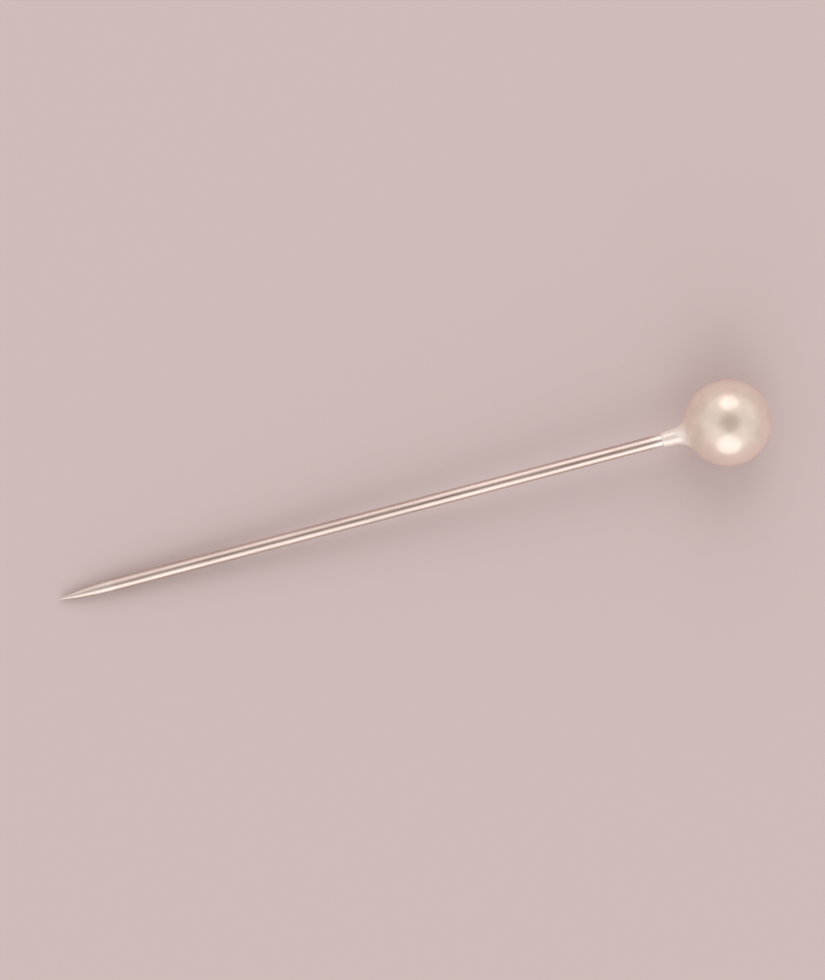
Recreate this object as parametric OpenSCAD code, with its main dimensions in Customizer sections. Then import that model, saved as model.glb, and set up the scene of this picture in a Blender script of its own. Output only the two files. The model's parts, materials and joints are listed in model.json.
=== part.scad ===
// Straight pin with a moulded pearl head.
// It lies as it comes to rest on a flat surface at z = 0, along X, with its head at +X.
// The ball carries one end and the start of the ground point carries the other, so its axis is tilted.

/* [Pin] */
// Length from the tip of the point to the far side of the ball
overall_length = 34; // [28:0.5:45]

/* [Shank] */
// Diameter of the drawn wire
wire_d = 0.6; // [0.5:0.05:0.8]
// Length of the ground point, from the full wire to its tip
point_length = 2.7; // [2:0.1:3.2]
// Width of the tiny blunt face that ends the point
tip_d = 0.05; // [0.03:0.01:0.1]
// How far the seated end runs past the centre of the ball
seat_past_centre = 0.9; // [0.2:0.1:1]
// Depth of the ring grooves in the seated end, which the plastic grips
ring_depth = 0.04; // [0.02:0.01:0.06]
// Distance from one ring groove to the next
ring_pitch = 0.4; // [0.3:0.05:0.8]

/* [Head] */
// Diameter of the ball
head_d = 4; // [3.2:0.1:5]
// Length of the neck, from the ball to its mouth
neck_length = 1.1; // [0.9:0.1:2]
// Thickness of the plastic at the mouth of the neck, above the wire
lip_wall = 0.05; // [0.03:0.01:0.1]
// Angle of the neck's side to the axis of the pin
neck_taper = 3; // [0:1:10]
// Radius of the hollow blend between the neck and the ball
neck_fillet = 0.85; // [0.4:0.05:1]
// Clearance round the wire in its socket; a moulded head has none
seat_clearance = 0; // [0:0.005:0.03]

/* [Hidden] */
wire_color = "silver";
pearl_color = "linen";
// Sides of a round, and of the wide arc of the point
round_fn = 96;
arc_fn = 1440;
// How far outlines that touch smoothly run into each other, so that they cross and leave no sliver
bite = 0.00005;

wire_r = wire_d / 2;
tip_r = tip_d / 2;
head_r = head_d / 2;

// Places along the pin's own axis, from the centre of the ball towards the tip
tip_z = overall_length - head_r;
shoulder_z = tip_z - point_length;
mouth_z = head_r + neck_length;

// The ring grooves share out the seated end evenly, from its end to the mouth of the neck.
seat_length = mouth_z + seat_past_centre;
ring_count = max(1, round(seat_length / ring_pitch));
half_ring = seat_length / ring_count / 2;

// The side of the ground point is an arc that leaves the wire without a corner.
point_narrowing = wire_r - tip_r;
point_arc_r = (point_length ^ 2 / point_narrowing + point_narrowing) / 2;
arc_centre_offset = point_arc_r - wire_r;

// The tapered side of the neck touches the round lip at its mouth and the hollow blend at the ball.
// Each place in the neck is a distance from the axis and a place along it.
side_normal = [cos(neck_taper), sin(neck_taper)];
side_direction = [sin(neck_taper), -cos(neck_taper)];
lip_centre = [wire_r, mouth_z - lip_wall];
side_start = lip_centre + (lip_wall - bite) * side_normal;
blend_line = side_start + neck_fillet * side_normal;
blend_along = -blend_line * side_direction;
blend_shift = blend_along - sqrt(blend_along ^ 2 - blend_line * blend_line + (head_r + neck_fillet) ^ 2);
blend_centre = blend_line + blend_shift * side_direction;
side_end = side_start + blend_shift * side_direction;

// The tilt at which the ball and the arc of the point both touch the surface
rest_tilt = acos((point_arc_r - head_r) / norm([arc_centre_offset, shoulder_z]))
    - atan2(shoulder_z, arc_centre_offset);

// Half of the length that the tilted pin covers
half_span = (head_r + tip_z * cos(rest_tilt) + tip_r * sin(rest_tilt)) / 2;

// Outline of the seated end, grown by a clearance. It runs on past the mouth, where the bare wire hides it.
module seat_outline(grown) {
    root_r = wire_r - ring_depth + grown;
    crest_r = wire_r + grown;
    start_z = -seat_past_centre - grown;
    past_mouth_z = mouth_z + lip_wall;
    polygon([
        [0, start_z],
        [root_r, start_z],
        for (i = [2 * ring_count - 1 : -1 : 0])
            [i % 2 == 0 ? root_r : crest_r, mouth_z - i * half_ring],
        [root_r, past_mouth_z],
        [0, past_mouth_z]
    ]);
}

// Outline of the bare wire, from the mouth of the neck to the ground point
module wire_outline() {
    translate([0, mouth_z])
        square([wire_r, shoulder_z - mouth_z]);
}

// Outline of the ground point
module point_outline() {
    translate([0, shoulder_z])
        intersection() {
            translate([-arc_centre_offset, 0])
                circle(r = point_arc_r, $fn = arc_fn);
            square([wire_r, point_length]);
        }
}

// Outline of the ball, without its socket
module ball_outline() {
    intersection() {
        circle(r = head_r, $fn = round_fn);
        translate([0, -head_r])
            square([head_r, head_d]);
    }
}

// Outline of the hollow blend, the tapered neck and its round lip, without the socket
module neck_outline() {
    difference() {
        polygon([
            [0, 0],
            blend_centre,
            side_end,
            side_start,
            lip_centre,
            [wire_r, mouth_z - bite],
            [0, mouth_z - bite]
        ]);
        translate(blend_centre)
            circle(r = neck_fillet + bite, $fn = round_fn);
    }
    translate(lip_centre)
        circle(r = lip_wall, $fn = round_fn);
}

// Turns an outline about the pin's own axis and lays the piece on the surface
module turn_and_lay() {
    translate([half_span - head_r, 0, head_r])
        rotate([0, -90 - rest_tilt, 0])
            rotate_extrude($fn = round_fn)
                children();
}

// Drawn steel wire with a ground point at one end and ring grooves under the head at the other
module shank() {
    color(wire_color)
        turn_and_lay() {
            seat_outline(0);
            wire_outline();
            point_outline();
        }
}

// Plastic ball and neck, moulded round the seated end of the wire
module pearl_head() {
    color(pearl_color)
        turn_and_lay()
            difference() {
                union() {
                    ball_outline();
                    neck_outline();
                }
                seat_outline(seat_clearance);
            }
}

shank();
pearl_head();
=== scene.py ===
"""Looks of a straight pin with a moulded pearl head, lying on a pale floor and seen from straight above."""

import json
import math

import bpy
from mathutils import Matrix, Vector


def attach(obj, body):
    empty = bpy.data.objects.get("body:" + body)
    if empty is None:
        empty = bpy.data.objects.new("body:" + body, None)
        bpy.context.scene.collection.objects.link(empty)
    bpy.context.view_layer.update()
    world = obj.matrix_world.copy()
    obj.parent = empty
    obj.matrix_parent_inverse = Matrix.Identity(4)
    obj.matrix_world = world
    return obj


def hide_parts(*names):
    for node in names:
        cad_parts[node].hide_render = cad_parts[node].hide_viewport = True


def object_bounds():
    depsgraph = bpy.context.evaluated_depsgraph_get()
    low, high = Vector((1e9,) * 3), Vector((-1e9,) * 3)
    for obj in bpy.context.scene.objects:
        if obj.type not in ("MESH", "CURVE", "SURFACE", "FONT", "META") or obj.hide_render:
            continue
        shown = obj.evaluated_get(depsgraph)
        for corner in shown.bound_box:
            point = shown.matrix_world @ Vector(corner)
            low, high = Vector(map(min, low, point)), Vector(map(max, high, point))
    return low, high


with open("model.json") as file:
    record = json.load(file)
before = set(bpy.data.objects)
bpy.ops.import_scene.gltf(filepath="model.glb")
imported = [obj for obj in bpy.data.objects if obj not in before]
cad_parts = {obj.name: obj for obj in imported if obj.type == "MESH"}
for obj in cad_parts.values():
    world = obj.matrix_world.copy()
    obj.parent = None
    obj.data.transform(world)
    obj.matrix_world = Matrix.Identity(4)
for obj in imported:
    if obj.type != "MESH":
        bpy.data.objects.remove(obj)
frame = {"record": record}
cad_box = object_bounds()

MM = 0.001

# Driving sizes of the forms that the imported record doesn't state
BALL_R = 2.0 * MM
NECK_LENGTH = 1.1 * MM
NECK_TAPER = math.radians(3)
NECK_FILLET = 0.85 * MM
LIP_WALL = 0.05 * MM
POINT_LENGTH = 2.7 * MM
TIP_R = 0.025 * MM
SEAT_PAST_CENTRE = 0.9 * MM
RING_DEPTH = 0.04 * MM
RING_COUNT = 10

# The pin's own axis runs from the centre of the ball to the tip, and places along it start at that centre.
mount = frame["record"]["mounts"][0]
WIRE_R = mount["dims"]["r_mm"] * MM
AXIS = Vector(mount["axis"]).normalized()
MOUTH_Z = BALL_R + NECK_LENGTH
SHOULDER_Z = MOUTH_Z + mount["dims"]["length_mm"] * MM
TIP_Z = SHOULDER_Z + POINT_LENGTH
BALL_CENTRE = Vector(mount["pos_m"]) - AXIS * MOUTH_Z

# The turn that carries the Z axis to the pin's own axis
SIDE = Vector((0, 1, 0)).cross(AXIS)
PIN_TURN = Matrix((SIDE, AXIS.cross(SIDE), AXIS)).transposed()

# Fineness of the turned meshes
BALL_SEGMENTS = 144
WIRE_SEGMENTS = 72
WIRE_RING_SPACING = 0.4 * MM
NECK_RING_SPACING = NECK_LENGTH / 10
BALL_STEPS = 84
BLEND_STEPS = 28
LIP_STEPS = 8
POINT_STEPS = 40
SHARP_CORNER = math.radians(25)

# The maps of the meshes lie in strips side by side, each with a rim left bare.
WIRE_STRIPS = 4
MAP_RIM = 0.01


# Outlines: lists of (distance from the axis, place along it)

def arc(centre, radius, start, end, steps):
    """Points along an arc of an outline, from one angle to another."""
    return [
        (
            centre[0] + radius * math.cos(start + (end - start) * i / steps),
            centre[1] + radius * math.sin(start + (end - start) * i / steps),
        )
        for i in range(steps + 1)
    ]


def stretch(start, end, spacing):
    """Points along a straight stretch of an outline, without its two ends."""
    steps = max(1, round(math.dist(start, end) / spacing))
    return [
        tuple(a + (b - a) * i / steps for a, b in zip(start, end))
        for i in range(1, steps)
    ]


def seat_outline():
    """The ring-grooved end of the wire inside the head, from its end to the mouth."""
    root_r = WIRE_R - RING_DEPTH
    half_ring = (MOUTH_Z + SEAT_PAST_CENTRE) / RING_COUNT / 2
    points = [(0.0, -SEAT_PAST_CENTRE), (root_r, -SEAT_PAST_CENTRE)]
    for i in range(2 * RING_COUNT - 1, -1, -1):
        points.append((root_r if i % 2 == 0 else WIRE_R, MOUTH_Z - i * half_ring))
    return points


def shank_outline():
    """The seated end, the bare wire and the ground point, whose side is an arc that touches the wire."""
    mouth = (WIRE_R, MOUTH_Z)
    shoulder = (WIRE_R, SHOULDER_Z)
    narrowing = WIRE_R - TIP_R
    arc_r = (POINT_LENGTH ** 2 / narrowing + narrowing) / 2
    arc_end = math.asin(POINT_LENGTH / arc_r)
    point = arc((WIRE_R - arc_r, SHOULDER_Z), arc_r, 0.0, arc_end, POINT_STEPS)
    wire = stretch(mouth, shoulder, WIRE_RING_SPACING)
    return [*seat_outline(), mouth, *wire, *point, (0.0, TIP_Z)]


def head_outline():
    """The ball, its hollow blend into the neck, the round lip and the socket that the wire fills."""
    normal = Vector((math.cos(NECK_TAPER), math.sin(NECK_TAPER)))
    along = Vector((math.sin(NECK_TAPER), -math.cos(NECK_TAPER)))
    lip_centre = Vector((WIRE_R, MOUTH_Z - LIP_WALL))
    side_start = lip_centre + LIP_WALL * normal

    # The blend's centre lies one fillet away from both the neck's side and the ball.
    beside = side_start + NECK_FILLET * normal
    back = -beside.dot(along)
    shift = back - math.sqrt(back ** 2 - beside.length_squared + (BALL_R + NECK_FILLET) ** 2)
    blend_centre = beside + shift * along
    side_end = side_start + shift * along
    ball_end = math.atan2(blend_centre.y, blend_centre.x)

    # The far pole lies exactly on the axis, which a cosine only comes near to.
    pole = (0.0, -BALL_R)
    ball = arc((0.0, 0.0), BALL_R, -math.pi / 2, ball_end, BALL_STEPS)
    blend = arc(blend_centre, NECK_FILLET, ball_end + math.pi, math.pi + NECK_TAPER, BLEND_STEPS)
    side = stretch(side_end, side_start, NECK_RING_SPACING)
    lip = arc(lip_centre, LIP_WALL, NECK_TAPER, math.pi / 2, LIP_STEPS)
    return [pole, *ball[1:], *blend[1:], *side, *lip, *reversed(seat_outline())]


# Meshes

def corner(before, here, after):
    """The angle by which an outline turns at a point."""
    first = Vector(here) - Vector(before)
    second = Vector(after) - Vector(here)
    return first.angle(second, 0.0)


def unroll(mesh, outline, corners, segments, strips):
    """A map of a turned mesh in strips. The turn goes across a strip, and the outline goes up it."""
    lengths = [0.0]
    for before, here in zip(outline, outline[1:]):
        lengths.append(lengths[-1] + math.dist(before, here))
    strip_length = lengths[-1] / strips
    longest_band = max(high - low for low, high in zip(lengths, lengths[1:]))

    layer = mesh.uv_layers.new(name="OFBake")
    for loop, (turn, ring, band) in enumerate(corners):
        strip = int((lengths[band] + lengths[band + 1]) / 2 / strip_length)
        across = turn / segments
        up = (lengths[ring] - strip * strip_length + longest_band) / (strip_length + 2 * longest_band)
        layer.uv[loop].vector = (
            (strip + MAP_RIM + across * (1 - 2 * MAP_RIM)) / strips,
            MAP_RIM + up * (1 - 2 * MAP_RIM),
        )


def turned(name, outline, segments, strips):
    """A piece whose mesh is an outline turned about the pin's own axis."""
    vertices, rings = [], []
    for r, z in outline:
        count = 1 if r == 0 else segments
        rings.append(range(len(vertices), len(vertices) + count))
        for i in range(count):
            turn = 2 * math.pi * i / segments
            vertices.append((r * math.cos(turn), r * math.sin(turn), z))

    # Each corner of a face is kept with its turn, its ring and the band of faces that it belongs to.
    faces, corners = [], []
    for band, (low, high) in enumerate(zip(rings, rings[1:])):
        for i in range(segments):
            j = (i + 1) % segments
            if len(low) == 1:
                faces.append((low[0], high[j], high[i]))
                turns = ((i + 0.5, band), (i + 1, band + 1), (i, band + 1))
            elif len(high) == 1:
                faces.append((low[i], low[j], high[0]))
                turns = ((i, band), (i + 1, band), (i + 0.5, band + 1))
            else:
                faces.append((low[i], low[j], high[j], high[i]))
                turns = ((i, band), (i + 1, band), (i + 1, band + 1), (i, band + 1))
            corners.extend((turn, ring, band) for turn, ring in turns)

    mesh = bpy.data.meshes.new(name)
    mesh.from_pydata(vertices, [], faces)
    mesh.shade_smooth()
    unroll(mesh, outline, corners, segments, strips)
    sharp = {
        ring
        for before, here, after, ring in zip(outline, outline[1:], outline[2:], rings[1:])
        if corner(before, here, after) > SHARP_CORNER
    }
    for edge in mesh.edges:
        if any(edge.vertices[0] in ring and edge.vertices[1] in ring for ring in sharp):
            edge.use_edge_sharp = True
    mesh.transform(Matrix.Translation(BALL_CENTRE) @ PIN_TURN.to_4x4())
    mesh.validate()

    piece = bpy.data.objects.new(name, mesh)
    bpy.context.scene.collection.objects.link(piece)
    return piece


# Materials

def rgb(red, green, blue):
    """An opaque colour in linear light."""
    return (red, green, blue, 1.0)


PLATING = rgb(0.72, 0.60, 0.535)
PLATING_SHADE = rgb(0.60, 0.495, 0.435)
PLATING_STREAK = rgb(0.52, 0.42, 0.365)
GROUND_STEEL = rgb(0.74, 0.64, 0.58)
LACQUER_FILM = rgb(0.86, 0.78, 0.73)
CREAM = rgb(0.82, 0.685, 0.585)
CREAM_SHADE = rgb(0.72, 0.605, 0.505)
CREAM_BLUSH = rgb(0.83, 0.635, 0.56)
NECK_SKIN = rgb(0.89, 0.79, 0.715)
PINK_SHEEN = rgb(0.95, 0.42, 0.38)
PALE_FLOOR = rgb(0.62, 0.515, 0.50)

# Where a finish starts and where it is full, in millimetres from the centre of the ball
GROUND_START = SHOULDER_Z / MM - 0.15
GROUND_FULL = SHOULDER_Z / MM + 0.25
FILM_FULL = MOUTH_Z / MM - 0.2
FILM_START = MOUTH_Z / MM + 0.45
SKIN_START = 1.6
SKIN_FULL = 2.5

# Depths of the relief, in metres
LINE_DEPTH = 5.0e-6
GRINDING_DEPTH = 9.0e-6
SCRATCH_DEPTH = 2.0e-6
SWELL_DEPTH = 9.0e-6
FLAKE_DEPTH = 1.2e-6


class Shader:
    """A material's node tree, with short calls that add a node and link what feeds it."""

    def __init__(self, name):
        self.material = bpy.data.materials.new(name)
        self.material.use_nodes = True
        self.tree = self.material.node_tree
        self.surface = self.tree.nodes["Principled BSDF"]

        # The place in millimetres, from the centre of the ball, with Z along the pin
        place = self.add(
            "ShaderNodeMapping",
            {"vector_type": "TEXTURE"},
            Vector=self.tree.nodes.new("ShaderNodeTexCoord").outputs["Object"],
            Location=BALL_CENTRE,
            Rotation=PIN_TURN.to_euler(),
            Scale=(MM, MM, MM),
        )
        self.place = place.outputs["Vector"]

    def feed(self, socket, value):
        """Links an output to a socket, or sets the socket's own value."""
        if isinstance(value, bpy.types.NodeSocket):
            self.tree.links.new(value, socket)
        else:
            socket.default_value = value

    def add(self, kind, settings=None, **inputs):
        """A new node, its settings and its inputs by name, with spaces written as underscores."""
        node = self.tree.nodes.new(kind)
        for name, value in (settings or {}).items():
            setattr(node, name, value)
        for name, value in inputs.items():
            self.feed(node.inputs[name.replace("_", " ")], value)
        return node

    def noise(self, scale, detail=2.0, roughness=0.5, offset=(0.0, 0.0, 0.0)):
        """Noise over the piece, scaled in features to the millimetre along each of the pin's axes."""
        moved = self.add("ShaderNodeMapping", Vector=self.place, Location=offset, Scale=scale)
        node = self.add(
            "ShaderNodeTexNoise",
            Vector=moved.outputs["Vector"],
            Scale=1.0,
            Detail=detail,
            Roughness=roughness,
        )
        return node.outputs["Fac"]

    def ranged(self, value, low, high, to_low=0.0, to_high=1.0):
        """A value carried smoothly from one range to another."""
        node = self.add(
            "ShaderNodeMapRange",
            {"interpolation_type": "SMOOTHSTEP"},
            Value=value,
            From_Min=low,
            From_Max=high,
            To_Min=to_low,
            To_Max=to_high,
        )
        return node.outputs["Result"]

    def along(self):
        """The place along the pin's axis, in millimetres from the centre of the ball."""
        return self.add("ShaderNodeSeparateXYZ", Vector=self.place).outputs["Z"]

    def combine(self, operation, first, second):
        """The sum, product or other result of two values."""
        node = self.add("ShaderNodeMath", {"operation": operation})
        self.feed(node.inputs[0], first)
        self.feed(node.inputs[1], second)
        return node.outputs["Value"]

    def mix(self, factor, first, second):
        """A blend of two colours, or of two numbers."""
        colours = not isinstance(first, float) and not isinstance(second, float)
        node = self.add("ShaderNodeMix", {"data_type": "RGBA" if colours else "FLOAT"})
        # The node keeps sockets of one name for every type, so they are found by their places.
        a, b, result = (6, 7, 2) if colours else (2, 3, 0)
        self.feed(node.inputs[0], factor)
        self.feed(node.inputs[a], first)
        self.feed(node.inputs[b], second)
        return node.outputs[result]

    def bump(self, height, depth, under=None):
        """A normal from a height between 0 and 1 that stands for a depth in metres."""
        node = self.add("ShaderNodeBump", Height=height, Distance=depth, Strength=1.0)
        if under is not None:
            self.feed(node.inputs["Normal"], under)
        return node.outputs["Normal"]

    def finish(self, **inputs):
        """The material, once its surface has its inputs by name."""
        for name, value in inputs.items():
            self.feed(self.surface.inputs[name.replace("_", " ")], value)
        return self.material


def nickel():
    """Bright nickel over drawn wire, with a ground point and a film of lacquer by the neck."""
    shader = Shader("nickel_plate")
    place = shader.along()

    # Drawing lines run along the wire, and the grinding marks round its point.
    lines = shader.noise((26.0, 26.0, 0.35), detail=3.0, roughness=0.6)
    scratches = shader.noise((60.0, 60.0, 1.6), detail=1.0, offset=(3.0, 1.0, 0.0))
    ground = shader.ranged(place, GROUND_START, GROUND_FULL)
    grinding = shader.noise((5.0, 5.0, 34.0), detail=3.0, roughness=0.65, offset=(0.0, 5.0, 0.0))

    # Slow changes of tone, as plating and handling leave
    tone = shader.noise((0.9, 0.9, 0.22), detail=3.0, offset=(7.0, 0.0, 2.0))
    streaks = shader.noise((11.0, 11.0, 0.18), detail=2.0, offset=(0.0, 4.0, 1.0))
    warm = shader.mix(shader.ranged(tone, 0.35, 0.68), PLATING, PLATING_SHADE)
    plated = shader.mix(shader.ranged(streaks, 0.42, 0.72, 0.0, 0.45), warm, PLATING_STREAK)
    steel = shader.mix(shader.ranged(ground, 0.0, 1.0, 0.0, 0.6), plated, GROUND_STEEL)

    # The lacquer of the head creeps a little way out of the neck.
    edge = shader.noise((5.0, 5.0, 2.5), detail=2.0, offset=(2.0, 9.0, 0.0))
    reach = shader.combine("MULTIPLY", edge, -0.5)
    wetted = shader.combine("ADD", place, reach)
    film = shader.ranged(wetted, FILM_FULL, FILM_START, 0.8, 0.0)
    colour = shader.mix(film, steel, LACQUER_FILM)

    roughness = shader.ranged(lines, 0.3, 0.7, 0.31, 0.43)
    roughness = shader.mix(ground, roughness, 0.38)
    roughness = shader.mix(film, roughness, 0.30)

    normal = shader.bump(lines, LINE_DEPTH)
    normal = shader.bump(shader.combine("MULTIPLY", grinding, ground), GRINDING_DEPTH, normal)
    normal = shader.bump(scratches, SCRATCH_DEPTH, normal)
    return shader.finish(
        Base_Color=colour,
        Metallic=shader.mix(film, 1.0, 0.55),
        Roughness=roughness,
        Normal=normal,
    )


def pearl():
    """Cream pearl lacquer over plastic: a soft metallic glow with a pink sheen, under a clear gloss."""
    shader = Shader("pearl_plastic")
    place = shader.along()

    # Clouds of cream and faintly pink lacquer, with a paler skin on the thin neck
    clouds = shader.noise((0.85, 0.85, 0.85), detail=2.5, roughness=0.55, offset=(1.7, 0.4, 2.6))
    blush = shader.noise((0.6, 0.6, 0.6), detail=1.5, offset=(5.1, 8.3, 0.9))
    cream = shader.mix(shader.ranged(clouds, 0.36, 0.64), CREAM, CREAM_SHADE)
    cream = shader.mix(shader.ranged(blush, 0.45, 0.72, 0.0, 0.6), cream, CREAM_BLUSH)
    thin = shader.ranged(place, SKIN_START, SKIN_FULL, 0.0, 0.85)
    colour = shader.mix(thin, cream, NECK_SKIN)

    # The flakes roughen the lacquer alone, and the clear gloss over it only swells.
    flakes = shader.noise((11.0, 11.0, 11.0), detail=1.0)
    swell = shader.noise((1.6, 1.6, 1.6), detail=1.0, offset=(0.0, 2.0, 6.0))
    skin = shader.bump(swell, SWELL_DEPTH)
    satin = shader.bump(flakes, FLAKE_DEPTH, skin)

    # The roughness stays above 0.274, because a render draws thin lines where it crosses that value.
    roughness = shader.ranged(clouds, 0.3, 0.7, 0.276, 0.32)
    return shader.finish(
        Base_Color=colour,
        Metallic=shader.mix(thin, 0.42, 0.14),
        Roughness=roughness,
        Normal=satin,
        Coat_Normal=skin,
        Coat_Weight=0.85,
        Coat_Roughness=0.14,
        Coat_IOR=1.5,
        Sheen_Weight=0.4,
        Sheen_Roughness=0.4,
        Sheen_Tint=PINK_SHEEN,
    )


# Pieces

def make_pin():
    """The wire and the head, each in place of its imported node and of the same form."""
    for name, node, outline, segments, strips, material, slot in (
        ("plated_wire", "shank", shank_outline(), WIRE_SEGMENTS, WIRE_STRIPS, nickel(), "nickel_plate"),
        ("pearl_ball", "pearl_head", head_outline(), BALL_SEGMENTS, 1, pearl(), "pearl_plastic"),
    ):
        piece = turned(name, outline, segments, strips)
        piece.data.materials.append(material)
        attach(piece, "root")
        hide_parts(node)


# Stage. The picture's up and right are directions on the floor, because the camera looks straight down.

PICTURE_ROLL = math.radians(14.8)
PICTURE_RIGHT = Vector((math.cos(PICTURE_ROLL), -math.sin(PICTURE_ROLL), 0))
PICTURE_UP = Vector((math.sin(PICTURE_ROLL), math.cos(PICTURE_ROLL), 0))

# The lens and its sensor in millimetres, the picture in pixels, and the share of its width that the pin fills
LENS = 100.0
SENSOR = 36.0
IMAGE_WIDTH = 825
IMAGE_HEIGHT = 980
FRAME_FILL = 0.87

# Sizes of the stage, in metres
FLOOR_SIZE = 4.0
LAMP_DISTANCE = 1.2

# The studio's colours by height, from the horizon at 0 to straight above at 1
SKY_STOPS = (
    (0.0, rgb(0.62, 0.52, 0.50)),
    (0.38, rgb(0.96, 0.94, 0.935)),
    (0.82, rgb(0.96, 0.94, 0.935)),
    (0.985, rgb(0.14, 0.085, 0.068)),
)


def make_floor():
    """A plain pale floor that the pin lies on."""
    half = FLOOR_SIZE / 2
    mesh = bpy.data.meshes.new("floor")
    corners = [(-half, -half, 0), (half, -half, 0), (half, half, 0), (-half, half, 0)]
    mesh.from_pydata(corners, [], [(0, 1, 2, 3)])
    floor = bpy.data.objects.new("floor", mesh)
    bpy.context.scene.collection.objects.link(floor)
    material = bpy.data.materials.new("pale_floor")
    material.use_nodes = True
    surface = material.node_tree.nodes["Principled BSDF"]
    surface.inputs["Base Color"].default_value = PALE_FLOOR
    surface.inputs["Roughness"].default_value = 0.9
    surface.inputs["Specular IOR Level"].default_value = 0.1
    mesh.materials.append(material)


def make_softbox(name, towards, lowest, highest, half_width, strength, colour):
    """A soft lamp in a direction along the floor.

    Its lowest and highest edges are in degrees from straight up, and its half width is in degrees too.
    """
    lowest, highest, half_width = map(math.radians, (lowest, highest, half_width))
    middle = (lowest + highest) / 2
    data = bpy.data.lights.new(name, "AREA")
    data.shape = "ELLIPSE"
    data.size = 2 * LAMP_DISTANCE * math.sin(middle) * math.tan(half_width)
    data.size_y = 2 * LAMP_DISTANCE * math.tan(abs(lowest - highest) / 2)
    area = math.pi / 4 * data.size * data.size_y
    # With this energy, the face of the lamp is as bright as its strength says.
    data.energy = strength * math.pi * area
    data.color = colour
    lamp = bpy.data.objects.new(name, data)
    bpy.context.scene.collection.objects.link(lamp)
    direction = towards * math.sin(middle) + Vector((0, 0, math.cos(middle)))
    lamp.location = direction * LAMP_DISTANCE
    lamp.rotation_euler = direction.to_track_quat("Z", "Y").to_euler()
    lamp.visible_camera = False


def make_lamps():
    """Two softboxes, the larger one towards the bottom of the picture."""
    make_softbox(
        "softbox_below",
        towards=-PICTURE_UP,
        lowest=95,
        highest=33,
        half_width=29,
        strength=1.08,
        colour=(0.93, 0.99, 1.05),
    )
    make_softbox(
        "softbox_above",
        towards=PICTURE_UP,
        lowest=73,
        highest=32,
        half_width=27,
        strength=1.37,
        colour=(1.0, 0.955, 0.98),
    )


def make_world():
    """A pale studio that meets the floor softly and is dark straight above, where the camera stands."""
    world = bpy.data.worlds.new("studio")
    world.use_nodes = True
    bpy.context.scene.world = world
    tree = world.node_tree
    direction = tree.nodes.new("ShaderNodeTexCoord").outputs["Generated"]
    height = tree.nodes.new("ShaderNodeSeparateXYZ")
    tree.links.new(direction, height.inputs[0])
    ramp = tree.nodes.new("ShaderNodeValToRGB")
    stops = ramp.color_ramp
    stops.interpolation = "EASE"
    for position, _ in SKY_STOPS[1:-1]:
        stops.elements.new(position)
    for stop, (position, colour) in zip(stops.elements, SKY_STOPS):
        stop.position = position
        stop.color = colour
    tree.links.new(height.outputs["Z"], ramp.inputs["Fac"])
    tree.links.new(ramp.outputs["Color"], tree.nodes["Background"].inputs["Color"])


def make_camera():
    """A long lens straight above, rolled so that the pin climbs to the right, as in the photograph."""
    low, high = cad_box
    tip = Vector((low.x, 0, 0))
    ball = Vector((BALL_CENTRE.x, 0, 0))
    left, right = tip.dot(PICTURE_RIGHT), ball.dot(PICTURE_RIGHT) + BALL_R
    bottom, top = tip.dot(PICTURE_UP), ball.dot(PICTURE_UP) + BALL_R
    aim = PICTURE_RIGHT * (left + right) / 2 + PICTURE_UP * (bottom + top) / 2
    frame_width = (right - left) / FRAME_FILL
    distance = frame_width * (IMAGE_HEIGHT / IMAGE_WIDTH) * LENS / SENSOR

    data = bpy.data.cameras.new("camera")
    data.lens = LENS
    data.sensor_width = SENSOR
    data.clip_start = 0.01
    data.clip_end = 10.0
    camera = bpy.data.objects.new("camera", data)
    bpy.context.scene.collection.objects.link(camera)
    turn = Matrix((PICTURE_RIGHT, PICTURE_UP, Vector((0, 0, 1)))).transposed()
    camera.matrix_world = Matrix.Translation(aim + Vector((0, 0, high.z / 2 + distance))) @ turn.to_4x4()
    bpy.context.scene.camera = camera


make_pin()
make_floor()
make_lamps()
make_world()
make_camera()

view = bpy.context.scene.view_settings
view.view_transform = "Standard"
